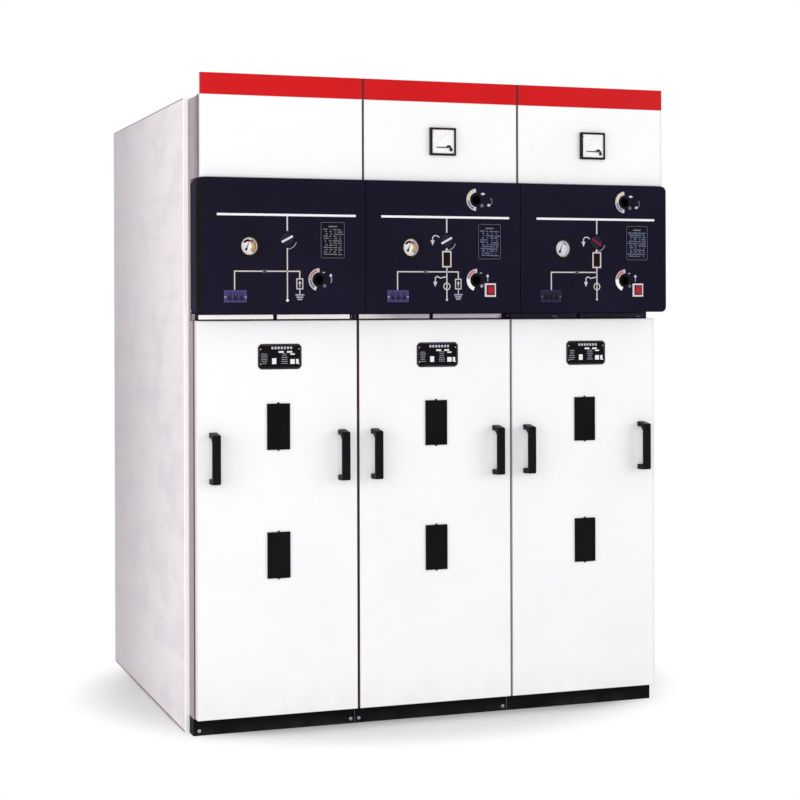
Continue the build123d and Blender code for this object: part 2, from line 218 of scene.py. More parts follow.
# the jamb: its front face painted dark where it shows through the seams between the doors
jambLook = dict(boxLook, shade=0.0, frontFaceTo=frontOf("cable_box_1") + 1 * mm)
sideZinc = zincSheet("sideZinc", (0.93, 0.865, 0.88), foldLook)
plainZinc = zincSheet("plainZinc", (0.89, 0.83, 0.85), sideLook)
boxZinc = zincSheet("boxZinc", (0.41, 0.35, 0.36), boxLook)
frameZinc = zincSheet("frameZinc", (0.4, 0.315, 0.335), jambLook)


def mouldedResin(name, colour, base, **changes):
    # moulded plastic: fine spark-eroded grain, slow sheen changes, thin wiping marks
    look = dict(base, **changes)
    made = Finish(name, colour, look["roughness"], look["specular"])
    grain = made.noise(look["grain"], 2)
    sheen = made.noise(look["sheen"], 3)
    wipes = made.rise(made.noise(look["wipes"], 4, (0.2, 1, 1)), 0.62, 0.78)
    body = made.mix(colour, tone(colour, look["pale"]), made.rise(sheen, 0.35, 0.75) * 0.6 | wipes * 0.35)
    for start, shade in look["bands"]:
        body = made.mix(shade, body, made.axes[1] < start)
    rough = look["roughness"] + (sheen - 0.5) * 0.14 + wipes * 0.1
    return made.done(body, rough, grain + sheen * 2, look["depth"])


navyLook = {"roughness": 0.42, "specular": 0.08, "grain": 900.0, "sheen": 4.0, "wipes": 30.0, "pale": 1.35,
            "depth": 0.00004, "bands": []}
softBlackLook = dict(navyLook, roughness=0.4, grain=1400.0, sheen=18.0, pale=1.6)
coverFront = frontOf("mechanism_cover_1")
# from the front to the back: the navy face, the fascia's black side, the bluish skirt behind the groove
coverLook = dict(navyLook, specular=0.003, bands=[(coverFront + 5 * mm, (0.0024, 0.0021, 0.0024)),
                                                  (coverFront + 62 * mm, (0.023, 0.018, 0.04))])
navyCover = mouldedResin("navyCover", (0.01, 0.0086, 0.019), coverLook)
sheetBlack = mouldedResin("sheetBlack", (0.0085, 0.007, 0.014), navyLook, specular=0.012)
blackBakelite = mouldedResin("blackBakelite", (0.005, 0.0034, 0.0044), softBlackLook, specular=0.06)
meterBakelite = mouldedResin("meterBakelite", (0.0165, 0.0105, 0.013), softBlackLook, specular=0.06)
glossBlack = mouldedResin("glossBlack", (0.004, 0.0036, 0.0042), softBlackLook, roughness=0.2)
windowPane = mouldedResin("windowPane", (0.0048, 0.0046, 0.005),
                          softBlackLook, specular=0.04, roughness=0.12, sheen=9.0, depth=0.00001)
castResin = mouldedResin("castResin", (0.26, 0.055, 0.03), softBlackLook, specular=0.3, roughness=0.34, pale=1.25)
blockLook = dict(softBlackLook, roughness=0.35, pale=1.2)
violetBlock = mouldedResin("violetBlock", (0.055, 0.045, 0.135), blockLook)
duskBlock = mouldedResin("duskBlock", (0.02, 0.014, 0.038), blockLook)
darkViolet = mouldedResin("darkViolet", (0.014, 0.009, 0.032), blockLook, pale=1.3)
whitePlastic = mouldedResin("whitePlastic", (0.7, 0.62, 0.65), softBlackLook, roughness=0.32, pale=0.93)


def silkInk(name, colour, thin=0.9):
    # screen-printed ink with slightly uneven cover
    made = Finish(name, colour, 0.55, 0.04)
    cover = made.rise(made.noise(700, 3), 0.3, 0.55)
    fade = made.noise(24, 2)
    body = made.mix(tone(colour, thin - 0.12), made.mix(tone(colour, thin), colour, fade), cover)
    return made.done(body, 0.48 + fade * 0.16, cover, 0.00002)


whiteInk = silkInk("whiteInk", (0.86, 0.84, 0.85))
creamInk = silkInk("creamInk", (0.6, 0.55, 0.5))
paleInk = silkInk("paleInk", (0.58, 0.56, 0.62))
lilacInk = silkInk("lilacInk", (0.36, 0.33, 0.42))
greyInk = silkInk("greyInk", (0.15, 0.14, 0.18))
duskInk = silkInk("duskInk", (0.055, 0.048, 0.075))
roseInk = silkInk("roseInk", (0.46, 0.19, 0.2))
ochreInk = silkInk("ochreInk", (0.6, 0.43, 0.16))
strawInk = silkInk("strawInk", (0.66, 0.56, 0.34))
maroonInk = silkInk("maroonInk", (0.13, 0.016, 0.035))
fuseInk = silkInk("fuseInk", (0.012, 0.004, 0.006))
slateInk = silkInk("slateInk", (0.115, 0.135, 0.215))
greigeInk = silkInk("greigeInk", (0.19, 0.175, 0.19))
headerSeal = silkInk("headerSeal", (0.105, 0.03, 0.028))
needleInk = silkInk("needleInk", (0.15, 0.105, 0.13))
blushInk = silkInk("blushInk", (0.56, 0.42, 0.47))
mauveInk = silkInk("mauveInk", (0.5, 0.3, 0.4))
umberInk = silkInk("umberInk", (0.22, 0.11, 0.07))
blackInk = silkInk("blackInk", (0.0055, 0.0048, 0.0055), 1.0)
dialWhite = silkInk("dialWhite", (0.9, 0.89, 0.89), 0.97)
dialGrey = silkInk("dialGrey", (0.62, 0.61, 0.68), 0.9)
dialBlue = silkInk("dialBlue", (0.7, 0.73, 0.82), 0.97)


def barePlate(name, colour, rough, look):
    # bare bright metal: fine scratches and small stains
    made = Finish(name, colour, rough, metal=look["metal"])
    brush = made.noise(look["brush"], 3)
    stain = made.rise(made.noise(40, 4), 0.5, 0.75)
    body = made.mix(tone(colour, 0.82), colour, brush | (1 - stain) * 0.7)
    return made.done(body, rough + brush * 0.18 + stain * 0.12, brush, 0.00003)


brightLook = {"metal": 0.85, "brush": 400.0}
screwSteel = barePlate("screwSteel", (0.72, 0.71, 0.7), 0.26, brightLook)
dullSteel = barePlate("dullSteel", (0.16, 0.14, 0.2), 0.4, brightLook)
lilacSteel = barePlate("lilacSteel", (0.42, 0.4, 0.5), 0.34, brightLook)


def paintedReflectionStrip(look):
    # bright strips under the covers, with a painted reflection along the row: bright on the first cubicle, lilac
    # across the second, and painted dark reflection and shade with faint painted glints on the third
    made = Finish("paintedReflectionStrip", look["bright"], look["roughness"], metal=1.0)
    along, stain = made.axes[0], made.noise(look["stainsAndGlints"], 4, (1, 1, 3))
    # painted reflection: bright on the first cubicle, lilac across the second
    body = made.mix(look["bright"], look["lilac"], made.rise(along + stain * 0.06, *look["lilacSpan"]))
    # painted glints: patches where the painted dark reflection and shade on the third cubicle is thinner
    darkBetweenGlints = 1 - made.rise(stain, 0.62, 0.75) * 0.5
    body = made.mix(body, look["darkReflection"], made.rise(along + stain * 0.04, *look["darkReflectionSpan"]) * darkBetweenGlints)
    return made.done(body, look["roughness"] + stain * 0.1, made.noise(300, 3, (0.02, 1, 1)), 0.00002)


# the strip's colours along the row, from polished steel to painted dark reflection and shade on the third cubicle
stripLook = {"bright": (0.95, 0.91, 0.89), "lilac": (0.47, 0.42, 0.47), "darkReflection": (0.018, 0.015, 0.022),
             "roughness": 0.14, "stainsAndGlints": 34.0, "lilacSpan": (-0.26, -0.05), "darkReflectionSpan": (0.24, 0.28)}
brightStrip = paintedReflectionStrip(stripLook)


def discFinish(name, barColour, look):
    # the disc is dark; the bar across it, which stands proud of the disc, carries the paint
    made = Finish(name, look["disc"], 0.4, 0.08)
    wear = made.rise(made.noise(look["wear"], 4), 0.55, 0.8)
    onBar = made.axes[1] < look["barFrom"]
    bar = made.mix(barColour, tone(barColour, 0.75), wear)
    body = made.mix(made.mix(look["disc"], tone(look["disc"], 1.6), wear), bar, onBar)
    return made.done(body, 0.34 + wear * 0.2, made.noise(600, 2), 0.00003)


discLook = {"disc": (0.0105, 0.0125, 0.024), "wear": 90.0, "barFrom": coverFront + 0.5 * mm}
whiteDisc = discFinish("whiteDisc", (0.6, 0.62, 0.67), discLook)
redDisc = discFinish("redDisc", (0.22, 0.009, 0.022), discLook)


def buttonFinish(n, look):
    # a push button: a bright square in the middle of a darker cap
    low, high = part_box(f"push_button_{n}")
    made = Finish(f"redButton_{n}", look["edge"], 0.3, 0.12)
    wear = made.noise(look["wear"], 3)
    square = None
    for axis, half in ((0, look["half"][0]), (2, look["half"][1])):
        middle = (low[axis] + high[axis]) / 2
        off = made.axes[axis] - middle
        inside = 1 - made.rise(off.maths("ABSOLUTE", off), half, half + look["soft"])
        square = inside if square is None else square * inside
    body = made.mix(look["edge"], made.mix(look["core"], tone(look["core"], 0.8), wear), square)
    return made.done(body, 0.26 + wear * 0.12, made.noise(500, 2), 0.00002)


buttonLook = {"core": (0.46, 0.01, 0.022), "edge": (0.055, 0.004, 0.009), "half": (8.0 * mm, 10.0 * mm),
              "soft": 1.6 * mm, "wear": 120.0}

nodeFinish = {
    "plinth": blackEnamel, "cable_box": frameZinc, "clamp_rails": frameZinc, "cable_bushings": castResin,
    "switch_housing": frameZinc, "rear_covers": plainZinc, "roof_covers": plainZinc, "side_cover": sideZinc,
    "reveal_strips": brightStrip, "mechanism_cover": navyCover, "pressure_gauges": glossBlack,
    "lever_sockets": glossBlack, "button_frames": whitePlastic,
    "push_button_2": buttonFinish(2, buttonLook), "push_button_3": buttonFinish(3, buttonLook),
    "voltage_indicators": violetBlock, "instruction_sheets": sheetBlack, "instrument_boxes": boxZinc,
    "instrument_door": boxEnamel, "header_plates": redEnamel, "ammeters": meterBakelite, "cable_door": doorEnamel,
    "door_windows": windowPane, "rating_plate": blackInk, "door_handles": blackBakelite,
    "position_disc_3": redDisc, "position_disc": whiteDisc,
}
for nodeName, shown in nodes.items():
    key = next(prefix for prefix in nodeFinish if nodeName.startswith(prefix))
    shown.data.materials.clear()
    shown.data.materials.append(nodeFinish[key])
print("finishes on", len(nodes), "nodes")


# mesh helpers

def linked(name, data):
    made = bpy.data.objects.new(name, data)
    scene.collection.objects.link(made)
    return made


def place(name, data, body="root"):
    # a new piece that rides on a body
    made = linked(name, data)
    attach(made, body)


def meshFrom(name, data):
    made = bpy.data.meshes.new(name)
    data.to_mesh(made)
    data.free()
    return made


def evaluated(holder):
    # the object's mesh as it stands after its modifiers
    bpy.context.view_layer.update()
    return bpy.data.meshes.new_from_object(holder.evaluated_get(bpy.context.evaluated_depsgraph_get()))


class Artwork:
    # flat marks seen from the front, in millimetres across and up, laid on a face that looks towards -Y
    def __init__(self, name, x, y, z, thick=0.25):
        self.name = name
        self.x, self.y, self.z = x, y, z
        self.thick = thick * mm
        self.mesh = bmesh.new()
        self.finishes = []

    def index(self, finish):
        if finish not in self.finishes:
            self.finishes.append(finish)
        return self.finishes.index(finish)

    def fill(self, outline, finish, lift=0.0):
        # a closed outline, run either way round, made a thin plate; lift puts it on top of other marks
        area = sum(a[0] * b[1] - b[0] * a[1] for a, b in zip(outline, outline[1:] + outline[:1]))
        if area < 0:
            outline = outline[::-1]
        front = self.y - self.thick - lift * mm
        back = self.y - lift * mm
        ring = [[self.mesh.verts.new((self.x + u * mm, y, self.z + v * mm)) for u, v in outline]
                for y in (front, back)]
        faces = [self.mesh.faces.new(ring[0]), self.mesh.faces.new(ring[1][::-1])]
        for i in range(len(outline)):
            j = (i + 1) % len(outline)
            faces.append(self.mesh.faces.new((ring[0][i], ring[1][i], ring[1][j], ring[0][j])))
        for face in faces:
            face.material_index = self.index(finish)

    def plate(self, left, low, right, high, finish, lift=0.0):
        self.fill([(left, low), (right, low), (right, high), (left, high)], finish, lift)

    def arrow(self, x, wide, tip, half, finish):
        self.fill([(x - half, wide), (x + half, wide), (x, tip)], finish)

    def bar(self, start, end, width, finish, lift=0.0):
        along = Vector((end[0] - start[0], end[1] - start[1])).normalized()
        side = Vector((-along.y, along.x)) * (width / 2)
        a, b = Vector(start), Vector(end)
        self.fill([a + side, a - side, b - side, b + side], finish, lift)

    def path(self, points, width, finish, lift=0.0, closed=False):
        # a line with mitred corners, made of one plate per run
        count = len(points)
        tightest = 0.35
        sides = []
        for i in range(count):
            near = [Vector(points[j % count]) for j in (i - 1, i, i + 1) if closed or 0 <= j < count]
            ways = [(b - a).normalized() for a, b in zip(near, near[1:])]
            normals = [Vector((-way.y, way.x)) for way in ways]
            middle = sum(normals, Vector((0, 0))).normalized()
            sides.append(middle * (width / 2 / max(tightest, middle.dot(normals[0]))))
        for i in range(count if closed else count - 1):
            j = (i + 1) % count
            a, b = Vector(points[i]), Vector(points[j])
            self.fill([a + sides[i], a - sides[i], b - sides[j], b + sides[j]], finish, lift)

    def arc(self, centre, radius, width, start, end, finish, lift=0.0, steps=24):
        angles = [radians(start + (end - start) * i / steps) for i in range(steps + 1)]
        points = [(centre[0] + radius * cos(a), centre[1] + radius * sin(a)) for a in angles]
        if abs(end - start) >= 360:
            self.path(points[:-1], width, finish, lift, closed=True)
        else:
            self.path(points, width, finish, lift)

    def disc(self, centre, radius, finish, lift=0.0, steps=32):
        turn = [2 * pi * i / steps for i in range(steps)]
        self.fill([(centre[0] + radius * cos(a), centre[1] + radius * sin(a)) for a in turn], finish, lift)

    def frame(self, left, low, right, high, width, finish):
        h = width / 2
        corners = [(left + h, low + h), (right - h, low + h), (right - h, high - h), (left + h, high - h)]
        self.path(corners, width, finish, closed=True)

    def draw(self, marks, spot=(0, 0)):
        # a table of marks about a spot: what to draw, its points, then the rest of that method's values
        ways = {"bar": self.bar, "disc": self.disc, "arc": self.arc, "path": self.path, "fill": self.fill}
        for kind, points, *values in marks:
            moved = [(spot[0] + u, spot[1] + v) for u, v in points]
            ways[kind](*([moved] if kind in ("path", "fill") else moved), *values)

    def done(self, slotName, body="root"):
        data = meshFrom(self.name, self.mesh)
        for finish in self.finishes:
            data.materials.append(finish)
        place(self.name, data, body)


# geometry nodes

class Tree:
    # a geometry nodes group with named inputs; a node is handed on by the output that is used
    def __init__(self, name, **inputs):
        self.group = bpy.data.node_groups.new(name, "GeometryNodeTree")
        sockets = self.group.interface
        sockets.new_socket("Geometry", in_out="INPUT", socket_type="NodeSocketGeometry")
        for label, kind in inputs.items():
            sockets.new_socket(label, in_out="INPUT", socket_type="NodeSocket" + kind)
        sockets.new_socket("Geometry", in_out="OUTPUT", socket_type="NodeSocketGeometry")
        self.given = self.group.nodes.new("NodeGroupInput").outputs
        self.exit = self.group.nodes.new("NodeGroupOutput")

    def node(self, kind, sockets=None, output=0, **settings):
        return addNode(self.group, kind, sockets, settings).outputs[output]

    def maths(self, operation, a, b=0):
        return self.node("ShaderNodeMath", {0: a, 1: b}, operation=operation)

    def vector(self, **parts):
        return self.node("ShaderNodeCombineXYZ", parts)

    def cloud(self):
        return self.node("GeometryNodeMeshToPoints", {"Mesh": self.given["Geometry"]})

    def spread(self, points, piece, **sockets):
        return self.node("GeometryNodeInstanceOnPoints", dict(sockets, Points=points, Instance=piece))

    def close(self, instances):
        real = self.node("GeometryNodeRealizeInstances", {"Geometry": instances})
        dressed = self.node("GeometryNodeSetMaterial", {"Geometry": real, "Material": self.given["Finish"]})
        self.group.links.new(dressed, self.exit.inputs[0])
        return self.group


def grow(name, points, group, values, body="root"):
    # runs a tree on a cloud of points, keeps its result as a plain mesh and rides it on a body
    seed = bpy.data.meshes.new(name + "Points")
    seed.from_pydata([tuple(point) for point in points], [], [])
    holder = linked(name + "Points", seed)
    modifier = holder.modifiers.new("grow", "NODES")
    modifier.node_group = group
    for item in group.interface.items_tree:
        if item.in_out == "INPUT" and item.name in values:
            modifier[item.identifier] = values[item.name]
    solid = evaluated(holder)
    holder.modifiers.remove(modifier)
    bpy.data.objects.remove(holder)
    solid.name = name
    place(name, solid, body)


def screwTree():
    # one screw on every point, all looking the same way, each turned by a random amount about its own axis
    tree = Tree("screws", Head="Object", Size="Float", Facing="Vector", Seed="Int", Finish="Material")
    given = tree.given
    head = tree.node("GeometryNodeObjectInfo", {"Object": given["Head"]}, "Geometry", transform_space="ORIGINAL")
    cloud = tree.cloud()
    turn = tree.node("FunctionNodeRandomValue", {3: pi, "Seed": given["Seed"]}, 1, data_type="FLOAT")
    placed = tree.spread(cloud, head, Rotation=given["Facing"], Scale=given["Size"])
    turned = {"Instances": placed, "Rotation": tree.vector(Z=turn)}
    return tree.close(tree.node("GeometryNodeRotateInstances", turned))


def tickTree(longer=0.7):
    # scale ticks round part of a circle about each point, every fifth one longer
    tree = Tree("ticks", Count="Int", Radius="Float", Length="Float", Width="Float", Thick="Float", Start="Float",
                Sweep="Float", Finish="Material")
    given, maths = tree.given, tree.maths
    row = tree.node("GeometryNodePoints", {"Count": given["Count"]})
    order = tree.node("GeometryNodeInputIndex")
    step = maths("DIVIDE", given["Sweep"], maths("SUBTRACT", given["Count"], 1))
    angle = maths("ADD", given["Start"], maths("MULTIPLY", order, step))
    fifth = maths("LESS_THAN", maths("MODULO", order, 5), 0.5)
    length = maths("MULTIPLY", given["Length"], maths("ADD", 1, maths("MULTIPLY", fifth, longer)))
    out = maths("SUBTRACT", given["Radius"], maths("DIVIDE", length, 2))
    spot = tree.vector(X=maths("MULTIPLY", maths("COSINE", angle), out),
                       Z=maths("MULTIPLY", maths("SINE", angle), out))
    ring = tree.node("GeometryNodeSetPosition", {"Geometry": row, "Position": spot})
    tick = tree.node("GeometryNodeMeshCube", {"Size": (1, 1, 1)})
    scale = tree.spread(ring, tick, Rotation=tree.vector(Y=maths("MULTIPLY", angle, -1)),
                        Scale=tree.vector(X=length, Y=given["Thick"], Z=given["Width"]))
    one = tree.node("GeometryNodeRealizeInstances", {"Geometry": scale})
    return tree.close(tree.spread(tree.cloud(), one))


def rowTree():
    # short printed bars of random length in even rows, one for each point, in place of wording
    tree = Tree("printedRows", Shortest="Float", Longest="Float", Width="Float", Height="Float", Thick="Float",
                Seed="Int", Finish="Material")
    given = tree.given
    chance = tree.node("FunctionNodeRandomValue", {"Seed": given["Seed"], 2: given["Shortest"], 3: given["Longest"]},
                       1, data_type="FLOAT")
    size = tree.vector(X=tree.maths("MULTIPLY", chance, given["Width"]), Y=given["Thick"], Z=given["Height"])
    return tree.close(tree.spread(tree.cloud(), tree.node("GeometryNodeMeshCube", {"Size": (1, 1, 1)}), Scale=size))


def lathedHead(name, rings, sides=24, recess=0.42):
    # a screw head turned about Z, standing on Z = 0; a ring is radius, height and perhaps a shape, and a
    # cross is the driver's recess
    data = bmesh.new()
    loops = []
    for radius, height, *shape in rings:
        loop = []
        for i in range(sides):
            angle = 2 * pi * i / sides
            reach = radius
            if "hex" in shape:
                reach = radius / cos((angle + pi / 6) % (pi / 3) - pi / 6)
            elif "cross" in shape and i % (sides // 4) not in (0, 1, sides // 4 - 1):
                reach = radius * recess
            loop.append(data.verts.new((reach * cos(angle), reach * sin(angle), height)))
        loops.append(loop)
    for low, high in zip(loops, loops[1:]):
        for i in range(sides):
            j = (i + 1) % sides
            data.faces.new((low[i], low[j], high[j], high[i]))
    data.faces.new(loops[-1])
    data.faces.new(loops[0][::-1])
    bmesh.ops.recalc_face_normals(data, faces=data.faces[:])
    return linked(name, meshFrom(name, data))


crossHead = lathedHead("crossHead", [(1.0, 0.0), (1.0, 0.22), (0.86, 0.46), (0.56, 0.6),
                                     (0.5, 0.61, "cross"), (0.34, 0.22, "cross")])
hexHead = lathedHead("hexHead", [(1.0, 0.0), (1.0, 0.12), (0.78, 0.12, "hex"), (0.78, 0.6, "hex"),
                                 (0.7, 0.7), (0.3, 0.7)])
flushHead = lathedHead("flushHead", [(1.0, 0.0), (1.0, 0.02), (0.94, 0.03), (0.54, 0.03),
                                     (0.5, 0.028, "cross"), (0.4, 0.006, "cross")])
screws, ticks, printedRows = screwTree(), tickTree(), rowTree()
facing = {"front": (pi / 2, 0, 0), "rear": (-pi / 2, 0, 0), "up": (0, 0, 0), "down": (pi, 0, 0)}


def setScrews(name, spots, head, size, way, seed, finish, body="root"):
    values = {"Head": head, "Size": size, "Facing": facing[way], "Seed": seed, "Finish": finish}
    grow(name, spots, screws, values, body)


print("helpers ready")


# the mechanism covers' diagrams

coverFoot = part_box("voltage_indicators")[0].z - 32 * mm
coverMiddle = {n: sum(end.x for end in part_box(f"mechanism_cover_{n}")) / 2 for n in cubicles}


def onCover(n, look):
    # across from the middle of cubicle n's cover, back from its fascia, and up from its foot
    return coverMiddle[n] + look["x"] * mm, coverFront + look["seat"] * mm, coverFoot + look["rise"] * mm


diagram = {
    "centre": 7, "disc": 216, "above": 24, "below": 22, "contact": (29, 2.2, -88, -18), "foot": 38,
    "busbar": 286, "busbarWidth": 6.6, "busbarEnds": {1: (-204, 218), 2: (-202, 211), 3: (-197, 207)},
    "line": 3.6, "branch": 122.5, "drop": 68, "dropAt": {1: -152, 2: -151, 3: -148}, "joint": (-62, 6.5, 7.5, 2.6),
    "fuse": (30, 136, 185, 6), "neck": (1.2, 6), "ring": (79, 10, 3.0),
    # the current transformer's lead and the one beside the disc, each bent down into an arrowhead
    "leads": (([(4, 108), (-14, 104), (-24, 109), (-30, 105), (-30.5, 92)], 3.2, 93, 78),
              ([(-17, 225), (-23, 230), (-32, 231), (-38, 226), (-38.5, 216)], 3.0, 217, 201)), "barb": 6.5,
    "arresterAt": {1: 44.7, 2: 44}, "arrester": (21, 70, 102), "spark": (86, 96, 4.5), "stem": (76, 88, 2.2),
    "tail": (56, 2.6), "earth": ((54, 13.5), (47.5, 10.5), (41, 7.5)), "earthWidth": 4.2,
}


def drawDiagram(n):
    look = diagram
    art = Artwork(f"mimic_diagram_{n}", coverMiddle[n], coverFront, coverFoot)
    c, line, ink, foot = look["centre"], look["line"], creamInk, look["foot"]
    (left, right), busbar, thick = look["busbarEnds"][n], look["busbar"], look["busbarWidth"]
    art.bar((left, busbar), (right, busbar), thick, whiteInk)
    art.bar((c, busbar - thick / 2), (c, look["disc"] + look["above"]), line + 0.6, paleInk)
    # the earthing contact's arc, from below the disc round to its right
    art.arc((c, look["disc"]), *look["contact"], lilacInk, steps=12)
    top = look["disc"] - look["below"]
    if n == 1:
        art.bar((c, top - 4), (c, foot), line, ink)
        art.disc((c, foot), 4.2, whiteInk, 0.15)
    else:
        width, low, high, border = look["fuse"]
        narrow, wide = look["neck"]
        left, right = c - width / 2, c + width / 2
        art.fill([(c - narrow, top), (c - wide, high + 1), (c + wide, high + 1), (c + narrow, top)], paleInk)
        art.frame(left, low, right, high, line + 0.4, ink)
        art.plate(left + border, low + border, right - border, high - border, fuseInk)
        art.bar((c, low), (c, foot + 2), line, paleInk)
        centre, radius, width = look["ring"]
        art.arc((c, centre), radius, width, 0, 360, ink, 0.15, steps=28)
        art.disc((c, foot + 1), 3.4, paleInk, 0.15)
        for points, width, wide, tip in look["leads"]:
            art.path(points, width, paleInk)
            art.arrow(points[-1][0], wide, tip, look["barb"], paleInk)
    drop, branch = look["dropAt"][n], look["branch"]
    reach = look["arresterAt"].get(n, c)
    width, low, high = look["arrester"]
    points = [(drop, look["drop"]), (drop, branch), (reach, branch)]
    if n in look["arresterAt"]:
        points.append((reach, high))
    art.path(points, line, ink)
    joint, half, tall, pin = look["joint"]
    art.bar((joint - half, branch), (joint + half, branch), tall, greyInk, 0.2)
    art.disc((joint, branch), pin, blackInk, 0.45, 16)
    if n in look["arresterAt"]:
        art.frame(reach - width / 2, low, reach + width / 2, high, 3.0, ink)
        art.arrow(reach, *look["spark"], paleInk)
        start, end, width = look["stem"]
        art.bar((reach, start), (reach, end), width, paleInk, 0.1)
        end, width = look["tail"]
        art.bar((reach, low), (reach, end), width, paleInk)
        for rise, half in look["earth"]:
            art.bar((reach - half, rise), (reach + half, rise), look["earthWidth"], lilacInk)
    art.done("silver_strip")


socketAt = {"x": 105, "low": 98, "high": 340}
crescent = {"radius": 28, "width": 11.2, "inlay": 7.0, "low": (90, 250), "high": (95, 265), "split": 0.52,
            "inset": 14, "hair": 2.4}
# small signs about each socket, the lower ones by cubicle
dash = ("bar", [(9.5, 21.5), (17, 21.5)], 3.2, lilacInk)
diamond = ("fill", [(30, 11.5), (35, 18.5), (40, 11.5), (35, 8)], paleInk)
stalk = ("bar", [(35, 8), (35.5, -5)], 2.4, lilacInk)
hook = ("path", [(35, 9), (37.5, 3), (37.5, -3), (35, -9)], 2.6, lilacInk)
greyDot, lilacDot = (("disc", [(15.5, -17.5)], 5.2, ink) for ink in (greyInk, lilacInk))
lowSigns = {1: (dash, greyDot, diamond, hook), 2: (dash, lilacDot, diamond, stalk),
            3: (dash, greyDot, diamond, stalk)}
highSigns = (
    ("fill", [(12, 18), (20, 22), (28, 18), (20, 13.5)], paleInk),
    ("disc", [(17, -17.5)], 5.4, greyInk), ("disc", [(48, 2)], 3.0, greyInk),
    ("path", [(49, 1), (50, -8), (46, -14)], 2.4, greyInk),
    ("fill", [(33, -17), (38, -11.5), (46, -14), (41, -20.5)], paleInk, 0.15),
)


def drawScales(n):
    look = crescent
    art = Artwork(f"lever_scales_{n}", coverMiddle[n], coverFront, coverFoot)
    radius, width, inlay, inset = look["radius"], look["width"], look["inlay"], look["inset"]
    for level in ("low", "high") if n > 1 else ("low",):
        centre = (socketAt["x"], socketAt[level])
        start, end = look[level]
        half = start + (end - start) * look["split"]
        blushed = level == "low" and n > 1
        art.arc(centre, radius, width, start, end, whiteInk if blushed else paleInk, steps=30)
        if blushed:
            art.arc(centre, radius, width - 1.2, start + 3, half - 4, blushInk, 0.1, steps=16)
        first = roseInk if level == "low" else strawInk
        art.arc(centre, radius, inlay, start + inset, half, first, 0.2, steps=16)
        if not blushed:
            art.arc(centre, radius, inlay, half, end - inset, lilacInk, 0.2, steps=16)
            art.arc(centre, radius - 0.6, look["hair"], half + 6, end - inset - 4, duskInk, 0.4, steps=12)
        art.draw(lowSigns[n] if level == "low" else highSigns, centre)
    art.done("silver_strip")


# what shows beside the bright strips: the zinc jamb at the row's left end, and clips where two cubicles meet
clipLook = {"jamb": (-748.5, -737.5), "past": 3, "clips": (-251, -240), "clip": 2.8, "spot": 264,
            "spotSize": (5.5, 8.0)}


def buildStripEnds():
    look = clipLook
    low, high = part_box("reveal_strips")
    half = (high.z - low.z) / 2 / mm
    art = Artwork("strip_clips", 0, high.y, (low.z + high.z) / 2, 0.4)
    left, right = look["jamb"]
    art.plate(left, -half - look["past"], right, half + look["past"], frameZinc)
    for x in look["clips"]:
        art.bar((x, -half), (x, half), look["clip"], lilacInk)
    wide, tall = look["spotSize"]
    art.bar((look["spot"], -tall / 2), (look["spot"], tall / 2), wide, greyInk)
    art.done("silver_strip")


for n in cubicles:
    drawDiagram(n)
    drawScales(n)
buildStripEnds()
print("diagrams drawn")


# gauges, meters and indicators

gaugeAt = {
    "x": -106, "rise": 195, "seat": 9.5, "dial": 24.8, "pivot": (-4.4, 0.5), "needle": 67, "tip": 11.5, "tail": 10,
    "halves": (2.2, 1.2, 0.5), "weight": 3.8, "cap": 1.8, "tickLift": 0.35,
    "ticks": {"Count": 31, "Radius": 0.0242, "Length": 0.0012, "Width": 0.0003, "Thick": 0.0003,
              "Start": radians(-60), "Sweep": radians(300), "Finish": greyInk},
}
# the dials' coloured bands: radius, width, from, to, ink, lift, steps
darkBands = ((13.4, 9.0, -68, 56, ochreInk, 0.3, 24), (15.6, 6.4, 50, 92, umberInk, 0.35, 14),
             (16.8, 6.6, 88, 112, fuseInk, 0.4, 10), (17.6, 6.6, 108, 146, maroonInk, 0.45, 14))
gaugeBands = {
    1: ((20.2, 4.4, -58, 70, roseInk, 0.25, 30), *darkBands),
    2: ((20.2, 4.4, -58, 70, mauveInk, 0.25, 30), *darkBands),
    3: ((17.5, 5.0, 40, 84, lilacInk, 0.25, 16), (18.5, 3.0, -58, 26, paleInk, 0.25, 16)),
}


def buildGauge(n):
    look = gaugeAt
    art = Artwork(f"gauge_dial_{n}", *onCover(n, look))
    art.disc((0, 0), look["dial"], dialWhite if n < 3 else dialBlue, steps=56)
    for band in gaugeBands[n]:
        art.arc((0, 0), *band)
    needle = radians(look["needle"])
    way, side = Vector((cos(needle), sin(needle))), Vector((-sin(needle), cos(needle)))
    pivot = Vector(look["pivot"])
    tip, tail = pivot + way * look["tip"], pivot - way * look["tail"]
    blunt, waist, sharp = (side * half for half in look["halves"])
    art.fill([tail + blunt, tail - blunt, pivot - waist, tip - sharp, tip + sharp, pivot + waist], duskInk, 1.2)
    art.disc(tail, look["weight"], blackInk, 1.25, 20)
    art.disc(pivot, look["cap"], greyInk, 1.5, 20)
    art.done("black_plastic")


meterAt = {
    "well": 4, "rim": 6.2, "pivot": (25, -23), "radius": 46, "scale": (92, 178), "numbers": 52, "turn": (174, 15.6),
    "labels": ("20", "40", "60", "80", "100"), "labelSize": 0.0052, "proud": 0.5, "stop": (2.5, 9, 5.5, 5),
    "ticks": {"Count": 26, "Length": 0.0024, "Width": 0.0004, "Thick": 0.0003, "Finish": dialGrey},
}
# about the pivot: the needle at rest on zero, the cap and its bracket
meterNeedle = (
    ("fill", [(0, 7.6), (-24, 7.2), (-48, 6.8), (-48, 4.0), (-24, 3.4), (-8, 3.0)], needleInk, 1.4),
    ("arc", [(-7, 3.5)], 6.2, 6.0, -20, 172, blackInk, 1.0, 14),
    ("disc", [(0, -1.0)], 5.0, blackInk, 1.6, 28), ("disc", [(0, -1.0)], 1.6, duskInk, 2.1, 16),
)


